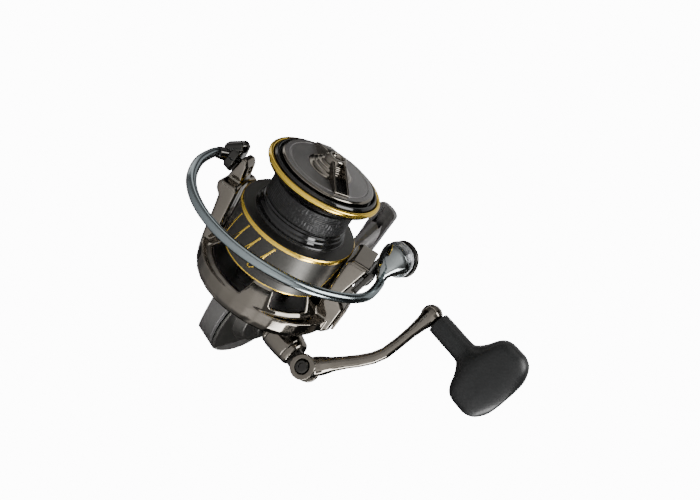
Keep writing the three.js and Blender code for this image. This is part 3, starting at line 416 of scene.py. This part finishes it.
def make_spool():
    """The spool's body, its gold lip and skirt rings, and the vents round its skirt, each a gold line round a jet
    black strip of painted shade.
    """
    lathe("spool_skin", [
        (-11, 14), (0.4, 14), (0.4, 20.8), (2.1, 21.5), (2.1, 22.2), (1.3, 22.8), (-1.4, 22.8), (-1.4, 24.3),
        (-2.2, 23.8), (-4.2, 20.2), (-6.6, 18.2), (-6.6, 16.6), (-16.4, 16.6), (-16.4, 18.3), (-17.4, 18.4),
        (-17.7, 19), (-19.1, 19.1), (-19.5, 19.7), (-21.6, 20), (-21.9, 20.5), (-22.3, 20.6), (-22.3, 25.7),
        (-23, 26.25), (-37.6, 26.5), (-37.8, 26.3), (-38.2, 26.3), (-38.4, 26.52), (-42.4, 26.58),
        (-43, 25.3), (-24.3, 24.9), (-24.3, 8.5), (-27, 8.5), (-27, 2.6), (-14.8, 2.6), (-14.8, 5.3),
        (-11, 5.3),
    ], [GRAPHITE, JET, DARK_CHROME], SPOOL, ["spool"], segments=192, choose=spool_finish)
    lip = [(-1.1, 23.2), (-1.1, 24.4), (-0.5, 24.95), (0.5, 24.95), (1.1, 24.4), (1.1, 23.2)]
    lathe("lip_ring_skin", lip, GOLD, SPOOL, ["spool_lip_ring"], segments=192, corner=0.45)
    front = [(-22.35, 25.2), (-22.35, 25.75), (-22.9, 26.34), (-24, 26.44), (-24.1, 25.6), (-24.1, 25.2)]
    lathe("skirt_ring_front", front, GOLD, SPOOL, segments=192, corner=0.2)
    rear = [(-41.9, 26), (-41.9, 26.6), (-42.15, 26.62), (-42.5, 26.6), (-42.5, 26)]
    lathe("skirt_ring_rear", rear, GOLD, SPOOL, segments=192, corner=0.1)
    for group in range(GILL_GROUPS):
        for number in range(GILLS):
            make_gill(group, number)


def skirt_radius(x):
    """The skirt's outer radius, which grows a little towards the rear."""
    return 26.25 + (-23 - x) / 14.6 * 0.25


def make_gill(group, number):
    """One slanted vent: a gold line that widens to the rear, round a jet black strip laid on the skirt as painted
    shade for the shadowed inside of the slot.
    """
    start = 360 / GILL_GROUPS * group + FIRST_GILL + GILL_PITCH * number
    # The second strip is painted shade: a jet black sheet on the skirt that stands in for the shadow inside the
    # slot.
    for name, finish, edge, lift, front, rear in (
        ("gill_rim", GOLD, 0.0, 0.05, GILL_FRONT, GILL_FRONT - GILL_LENGTH),
        ("gill_painted_shade", JET, 0.42, 0.07, -31.4, -39.1),
    ):
        rows = []
        for i in range(GILL_STEPS + 1):
            x = front + (rear - front) * i / GILL_STEPS
            middle = start + GILL_SLOPE * (x + 24.8)
            share = (GILL_FRONT - x) / GILL_LENGTH
            half = 0.42 + 1.7 * max(0, share - 0.25) ** 1.2
            left = (x - rear) / 2.0
            if left < 1:
                half *= math.sqrt(max(0.02, 1 - (1 - left) ** 2))
            half = max(0.04, half - edge)
            spread = math.degrees(half / SKIRT_RADIUS)
            rows.append([(x, middle + spread * t, skirt_radius(x) + lift) for t in (-1, -0.33, 0.33, 1)])
        verts, faces = [], []
        for depth in (0, -0.4):
            for row in rows:
                for x, angle, r in row:
                    verts.append(at(x, 0, 0) + outward(angle) * (r + depth) * MM)
        total = 4 * (GILL_STEPS + 1)
        for i in range(GILL_STEPS):
            for k in range(3):
                a = i * 4 + k
                faces.append((a, a + 1, a + 5, a + 4))
                faces.append((total + a, total + a + 4, total + a + 5, total + a + 1))
        edge_loop = [k for k in range(4)] + [i * 4 + 3 for i in range(1, GILL_STEPS + 1)]
        edge_loop += [GILL_STEPS * 4 + k for k in (2, 1, 0)] + [i * 4 for i in range(GILL_STEPS - 1, 0, -1)]
        for a, b in zip(edge_loop, edge_loop[1:] + edge_loop[:1]):
            faces.append((a, b, total + b, total + a))
        add(f"{name}_{group}_{number}", verts, faces, finish, SPOOL)


def make_sleeve():
    """The rubber sleeve, with short raised dashes in a maze over it."""
    random.seed(7)
    around, along = 640, 60
    on = {(i, j): random.random() for i in range(SLEEVE_CELLS) for j in range(SLEEVE_LINES)}
    rows = []
    for j in range(along + 1):
        v = j / along
        row = []
        for i in range(around):
            u = i / around * SLEEVE_CELLS
            cell, step = int(u), int(min(v, 0.9999) * SLEEVE_LINES)
            fu, fv = u - cell, v * SLEEVE_LINES - step
            pick = on[(cell % SLEEVE_CELLS, step)]
            joined = pick > 0.55 and on[((cell + 1) % SLEEVE_CELLS, step)] > 0.3
            bar_along = 0.22 < fv < 0.74 and (0.12 < fu < 0.9 or joined)
            bar_across = pick < 0.3 and 0.3 < fu < 0.66
            lift = DASH_HEIGHT if (bar_along and pick > 0.22) or bar_across else 0.0
            if v < 0.05 or v > 0.95:
                lift = BORDER_HEIGHT
            row.append(SLEEVE_RADIUS - 0.2 + lift)
        rows.append(row)
    verts, faces = [], []
    for j, row in enumerate(rows):
        x = SLEEVE_FRONT + (SLEEVE_REAR - SLEEVE_FRONT) * j / along
        for i, r in enumerate(row):
            verts.append(at(x, 0, 0) + outward(360 * i / around) * r * MM)
    inner = len(verts)
    for x in (SLEEVE_FRONT, SLEEVE_REAR):
        for i in range(around):
            verts.append(at(x, 0, 0) + outward(360 * i / around) * (SLEEVE_RADIUS - 1.6) * MM)
    for i in range(around):
        n = (i + 1) % around
        for j in range(along):
            a, b = j * around, (j + 1) * around
            faces.append((a + i, a + n, b + n, b + i))
        faces.append((i, inner + i, inner + n, n))
        faces.append((inner + i, inner + around + i, inner + around + n, inner + n))
        faces.append((along * around + i, along * around + n, inner + around + n, inner + around + i))
    add("sleeve_skin", verts, faces, RUBBER, SPOOL, ["line_sleeve"])


# ---------------------------------------------------------------- drag knob


def make_drag_knob():
    """The stepped knob, and its wing: two thin ribs over a dark floor, with a smooth tab opposite."""
    lathe("knob_disc", [
        (8.4, 0), (8.4, 2), (8.9, 2.4), (9.7, 2.6), (9.7, 3.9), (9.2, 4.4), (7.4, 4.6), (7, 5.4), (6.3, 5.6),
        (6, 6.6), (5, 6.9), (4.8, 8), (4.1, 8.3), (3.6, 9.4), (3.45, 16.9), (3.2, 17.1), (3.2, 17.5),
        (3.45, 17.7), (3.3, 19.7), (2.8, 20.35), (1.6, 20.35), (0.95, 19.8), (0.95, 9), (-3.6, 9),
        (-3.6, 6.3), (5, 6.3), (6.2, 3.4), (6.2, 0),
    ], [CHROME, CASING, JET], "drag", ["drag_knob"], segments=160, corner=0.22,
        choose=lambda x, r: 1 if 9.6 < r < 19.4 and x > 3 else 0)
    along = outward(WING_ANGLE)
    across = along.cross(Vector((1, 0, 0)))
    basis = Matrix((along, Vector((1, 0, 0)), across)).transposed()
    rib = [(3.4, 3.2), (3.4, 9), (5, 8.8), (16.6, 5), (17.9, 4.2), (17.9, 3.2)]
    for name, middle in (("wing_rib_a", -2.75), ("wing_rib_b", 2.75)):
        slab(name, rib, (middle - 0.42, middle + 0.42), basis, (0, 0, 0), CHROME, "drag", 0.2)
    front = [(16.9, 3.2), (16.9, 4.7), (17.9, 4.2), (17.9, 3.2)]
    slab("wing_front", front, (-3.1, 3.1), basis, (0, 0, 0), CHROME, "drag", 0.2)
    floor = [(4, 3.2), (4, 5.4), (9, 4.6), (17, 3.7), (17, 3.2)]
    slab("wing_floor", floor, (-2.4, 2.4), basis, (0, 0, 0), JET, "drag", 0.1)
    tab = [(-3.4, 3.2), (-3.4, 8.8), (-6, 8.5), (-10, 7.4), (-14.6, 6.1), (-17, 5), (-17.9, 4), (-17.9, 3.2)]
    slab("wing_tab", tab, (-3.1, 3.1), basis, (0, 0, 0), CHROME, "drag", 1.1)


# ---------------------------------------------------------------- bail

BAIL_LEFT = (-16.8, -36)
BAIL_RIGHT = (-28, 37)
ROLLER_CENTRE = Vector((-11.6, 39, 18.8))
ROLLER_AXIS = outward(84)
WIRE_END = Vector((-20.5, 40.4, 12.6))
WIRE_LINE = [
    (0, 5), (-0.012, 10), (-0.003, 20.2), (0.048, 30.9), (0.119, 37.9), (0.204, 42.4), (0.298, 44.9),
    (0.395, 45.6), (0.49, 44.8), (0.6, 42.5), (0.711, 38.8), (0.816, 33.1), (0.917, 25.1), (0.981, 16.2),
    (1.004, 5),
]
CONE_RADII = [(0, 2.15), (0.2, 2.8), (0.45, 4.4), (0.7, 6.1), (0.9, 7.25), (1, 7.55)]


def on_bail(out):
    """A place on the bail's pivot axis, by its distance out along the arm plane."""
    share = (out - BAIL_LEFT[1]) / (BAIL_RIGHT[1] - BAIL_LEFT[1])
    return Vector((BAIL_LEFT[0] + (BAIL_RIGHT[0] - BAIL_LEFT[0]) * share, 0, 0)) + outward(ARM_ANGLE) * out


def make_bail():
    """The wire hoop with its cone, the dome over the line roller, and the holder."""
    start, sag = on_bail(-41.6), outward(ARM_ANGLE - 90)
    points = [start.lerp(WIRE_END, along) + sag * deep for along, deep in WIRE_LINE] + [WIRE_END]
    line = smooth_line([on_bail(-39)] + points, 220)
    wire = rings_along(line, lambda t: (WIRE_RADIUS, WIRE_RADIUS), 28)
    skin("bail_wire_skin", wire, BAIL, "bail", ["bail_wire"])
    mouth = ROLLER_CENTRE - ROLLER_AXIS * 1.4
    bend = (mouth - ROLLER_AXIS * 6).lerp(WIRE_END, 0.35)
    horn = []
    for i in range(41):
        t = i / 40
        horn.append(WIRE_END.lerp(bend, t).lerp(bend.lerp(mouth, t), t))

    def horn_size(t):
        for (a, ra), (b, rb) in zip(CONE_RADII, CONE_RADII[1:]):
            if t <= b:
                s = (t - a) / (b - a)
                return (ra + (rb - ra) * s,) * 2
        return (7.55,) * 2

    skin("bail_cone_skin", rings_along(horn, horn_size, 56), [CONE], "bail", ["bail_cone"])
    roll = facing(ROLLER_AXIS)
    rim = [(-1.5, 6.2), (-1.5, 7.55), (-0.9, 7.6), (-0.75, 7.3), (-0.75, 6.2)]
    lathe("cone_rim", rim, STEEL, "bail", basis=roll, origin=ROLLER_CENTRE, segments=96, corner=0.15)
    lathe("roller_dome", [
        (1.9, 3), (1.9, 7.3), (2.2, 7.7), (3, 7.8), (3.3, 7.5), (3.5, 7.5), (4.3, 7), (5.2, 5.2), (5.55, 3),
        (5.55, 2.9), (4.6, 2.8), (4.6, 1.8), (3, 1.8),
    ], DARK_CHROME, "bail", basis=roll, origin=ROLLER_CENTRE, segments=96, corner=0.2)
    make_holder(points, sag)


def make_holder(points, sag):
    """The holder at the wire's far end: a disc on the pivot, a domed cap and a neck into the wire."""
    turn = facing((on_bail(-36) - on_bail(-30)).normalized())
    disc = [(0.1, 0), (0.1, 5.7), (0.7, 6.1), (3.6, 5.7), (4.5, 4.6), (4.5, 3.6), (4.1, 3.5), (4.1, 0)]
    lathe("holder_disc", disc, DARK_CHROME, "bail", ["bail_holder"], basis=turn, origin=on_bail(-34.4),
          segments=96, corner=0.3)
    lean = (Vector((0.663, 0, 0)) + outward(ARM_ANGLE) * 0.823).normalized()
    middle = on_bail(-37.2) + Vector((4.6, 0, 0))
    cap_line = [middle + lean * (-5.6 + 10.6 * i / 24) for i in range(25)]

    def cap_size(t):
        ends = min(1, math.sin(math.pi * min(max(t, 0.02), 0.98)) * 2.2) ** 0.5
        return (4.3 - 1.3 * t) * ends, (2.7 - 0.4 * t) * ends

    skin("holder_cap", rings_along(cap_line, cap_size, 40, power=2.6), DARK_CHROME, "bail")
    neck = smooth_line([on_bail(-37), on_bail(-38.8) + sag * 2.2, points[0].lerp(points[1], 0.3)], 24)
    skin("holder_neck", rings_along(neck, lambda t: (3.6 - 1.2 * t, 3.4 - 1.0 * t), 32), DARK_CHROME, "bail")


# ---------------------------------------------------------------- knob

MOST_WIDE = 18.5
MOST_THICK = 8


def make_knob():
    """The T-shaped grip. The table holds (y, half width, half thickness, squareness)."""
    low_grip, high_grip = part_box("knob_cap")
    middle = ((low_grip + high_grip) / 2 - ORIGIN) / MM
    wide = level(KNOB_ANGLE)
    thick = Vector((-wide.z, 0, wide.x))
    table = [
        (63.2, 4.7, 4.7, 2), (63.35, 5.05, 5.05, 2), (63.9, 5.25, 5.25, 2), (70, 5.3, 5.3, 2),
        (79, 5.3, 5.3, 2), (81.6, 6.2, 5.8, 2.05), (84.2, 10, 6.8, 2.15), (86.4, 15, 7.6, 2.25),
        (89, 17.7, 8, 2.35), (93, 18.6, 8.1, 2.4), (98, 18.4, 7.9, 2.4), (101.8, 16.4, 7.4, 2.35),
        (104.2, 12.4, 6.5, 2.2), (105.2, 8.6, 5.4, 2.1), (105.55, 3.5, 2.4, 2),
    ]
    rings = []
    last = len(table) - 1
    for i in range(last):
        around = [Vector(table[min(max(k, 0), last)]) for k in (i - 1, i, i + 1, i + 2)]
        rings += [curve_point(*around, k / 6) for k in range(6)]
    rings.append(table[-1])
    made = []
    for y, a, b, power in rings:
        centre = Vector((middle.x, y, middle.z))
        oval = boxy_circle(72, min(a, MOST_WIDE), min(b, MOST_THICK), power)
        made.append([centre + wide * across + thick * over for across, over in oval])
    skin("grip_skin", made, GRIP, "handle_knob", ["knob_grip", "knob_cap"])


# ---------------------------------------------------------------- the rest

DARK_TRIM = ("fold_pin", "bail_screw_left", "bail_screw_right", "roller_screw", "clutch_retainer")


def make_crank_hub():
    """The crank's stepped drum, on its axle, and the tongue of the folding knuckle."""
    hub = (Vector(JOINT["crank_spin"]["pos_m"]) - ORIGIN) / MM
    lathe("hub_drum", [
        (-8, 0), (-8, 1.6), (16, 1.6), (16, 7.2), (16.5, 8.2), (17.6, 8.5), (18.2, 8.5), (18.5, 8.1),
        (18.9, 8.1), (19.2, 8.55), (21, 8.5), (27, 7.75), (29.6, 7.3), (29.8, 7), (30.3, 7), (30.5, 7.15),
        (32.2, 6.8), (33.1, 6.1), (33.2, 0),
    ], CHROME, "crank", ["crank_hub"], basis=facing((0, 1, 0)), origin=hub, segments=112, corner=0.3)
    out, aside = level(CRANK_ANGLE), Vector((0, 1, 0))
    basis = Matrix((out, aside, out.cross(aside))).transposed()
    tongue = [(-5.3, 33), (3, 33), (3, 36.4), (5.3, 39)]
    tongue += [(5.3 * math.cos(math.pi * k / 20), 40.6 + 5.3 * math.sin(math.pi * k / 20)) for k in range(21)]
    slab("hub_tongue", tongue, (-2.55, 2.55), basis, hub, DARK_CHROME, "crank", 0.3)


def make_rest():
    """The castings, taken from the CAD shapes with softer edges, and a finish for every CAD node."""
    softened("rotor", [CHROME], 0.34, 14)
    softened("crank_arm", CHROME, 0.3, 8)
    edged("housing", [CASING], 0.35, 24)
    edged("side_cover", GRAPHITE, 0.3, 28)
    edged("rear_cover", CASING, 0.35, 28)
    make_crank_hub()
    softened("bail_arm", DARK_CHROME, 0.3, 6)
    edged("bail_spring_cover", CHROME, 0.35, 30)
    for node, obj in frame["nodes"].items():
        obj.data.materials.clear()
        obj.data.materials.append(DARK_CHROME if node in DARK_TRIM else SLOT_FINISH[SLOT_OF[node]])


# ---------------------------------------------------------------- studio

PAPER_WHITE = 16  # what the camera sees behind the reel
# What the metal mirrors: (share of the way from the dark side to the bright side, brightness).
BANDS = [(0.3, 0.01), (0.4, 0.35), (0.46, 0.01), (0.62, 0.02), (0.7, 0.5), (0.78, 1.7), (0.86, 0.04)]
CAMERA_AT = (84.03, 105.01, -150.94)
RIGHT = Vector((0.4943, 0.5995, 0.6295))
UP = Vector((0.7096, -0.6966, 0.1062))
BACK = Vector((0.5021, 0.3942, -0.7697))
LENS = 25.71
FLOOR_SIZE = 14
FLOOR_Z = -0.42
FLOOR_STEPS = 24


def area_light(name, place_at, target, size, power, size_y=None):
    """A soft panel that faces a target. Sizes are metres and power is watts."""
    data = bpy.data.lights.new(name, "AREA")
    data.shape = "RECTANGLE"
    data.size = size
    data.size_y = size_y or size
    data.energy = power
    lamp = bpy.data.objects.new(name, data)
    lamp.location = place_at
    lamp.rotation_euler = (Vector(target) - Vector(place_at)).to_track_quat("-Z", "Y").to_euler()
    bpy.context.scene.collection.objects.link(lamp)


def make_camera():
    """The camera, looking up at the reel from in front of it."""
    camera_data = bpy.data.cameras.new("camera")
    camera_data.sensor_width = 36
    camera_data.lens = LENS
    camera = bpy.data.objects.new("camera", camera_data)
    camera.matrix_world = Matrix.Translation(at(*CAMERA_AT)) @ Matrix((RIGHT, UP, BACK)).transposed().to_4x4()
    bpy.context.scene.collection.objects.link(camera)
    bpy.context.scene.camera = camera


def make_world():
    """White paper for the camera, and dark and bright bands for everything that the metal mirrors."""
    world = bpy.data.worlds.new("studio")
    bpy.context.scene.world = world
    world.use_nodes = True
    nodes, links = world.node_tree.nodes, world.node_tree.links
    ground = nodes["Background"]
    way = nodes.new("ShaderNodeTexCoord").outputs["Generated"]
    lean = nodes.new("ShaderNodeVectorMath")
    lean.operation = "DOT_PRODUCT"
    lean.inputs[1].default_value = (UP * 0.75 + BACK * 0.55 - RIGHT * 0.35).normalized()
    links.new(way, lean.inputs[0])
    bands = nodes.new("ShaderNodeValToRGB")
    stops = bands.color_ramp.elements
    stops[0].position, stops[0].color = 0.0, (0.02, 0.02, 0.02, 1)
    stops[1].position, stops[1].color = 1.0, (0.9, 0.89, 0.87, 1)
    for where, level in BANDS:
        stop = stops.new(where)
        stop.color = (level, level * 0.99, level * 0.97, 1)
    shift = nodes.new("ShaderNodeMapRange")
    shift.inputs["From Min"].default_value = -1
    links.new(lean.outputs["Value"], shift.inputs["Value"])
    links.new(shift.outputs["Result"], bands.inputs["Fac"])
    links.new(bands.outputs["Color"], ground.inputs["Color"])
    ground.inputs["Strength"].default_value = 1.0
    paper = nodes.new("ShaderNodeBackground")
    paper.inputs["Strength"].default_value = PAPER_WHITE
    choice = nodes.new("ShaderNodeMixShader")
    links.new(nodes.new("ShaderNodeLightPath").outputs["Is Camera Ray"], choice.inputs["Fac"])
    links.new(ground.outputs["Background"], choice.inputs[1])
    links.new(paper.outputs["Background"], choice.inputs[2])
    links.new(choice.outputs["Shader"], nodes["World Output"].inputs["Surface"])


def make_floor():
    """A pale floor under the reel."""
    row = FLOOR_STEPS + 1
    places = [(k / FLOOR_STEPS - 0.5) * FLOOR_SIZE for k in range(row)]
    verts = [(x, y, FLOOR_Z) for x in places for y in places]
    faces = []
    for i in range(FLOOR_STEPS):
        for j in range(FLOOR_STEPS):
            a = i * row + j
            faces.append((a, a + row, a + row + 1, a + 1))
    mesh = bpy.data.meshes.new("floor")
    mesh.from_pydata(verts, [], faces)
    mesh.materials.append(material("floor_paper", (0.86, 0.86, 0.86), 0, 0.7, 0.03, 0.05, 900, 0.01))
    floor = bpy.data.objects.new("floor", mesh)
    bpy.context.scene.collection.objects.link(floor)


def make_lights():
    """Soft panels round the camera's view, and one overhead."""
    centre = at(-40, 20, 0)
    area_light("key", centre + (RIGHT * -0.5 + UP * 0.6 + BACK * 0.5), centre, 0.35, 14)
    area_light("fill", centre + (RIGHT * 0.8 + UP * 0.1 + BACK * 0.4), centre, 0.5, 8)
    area_light("ceiling", centre + Vector((0, 0, 1.6)), centre, 2.4, 12)
    area_light("edge", centre + (RIGHT * 0.1 - UP * 0.7 + BACK * 0.1), centre, 0.5, 6, 0.2)


make_spool()
make_sleeve()
make_drag_knob()
make_bail()
make_knob()
make_rest()
make_camera()
make_world()
make_floor()
make_lights()
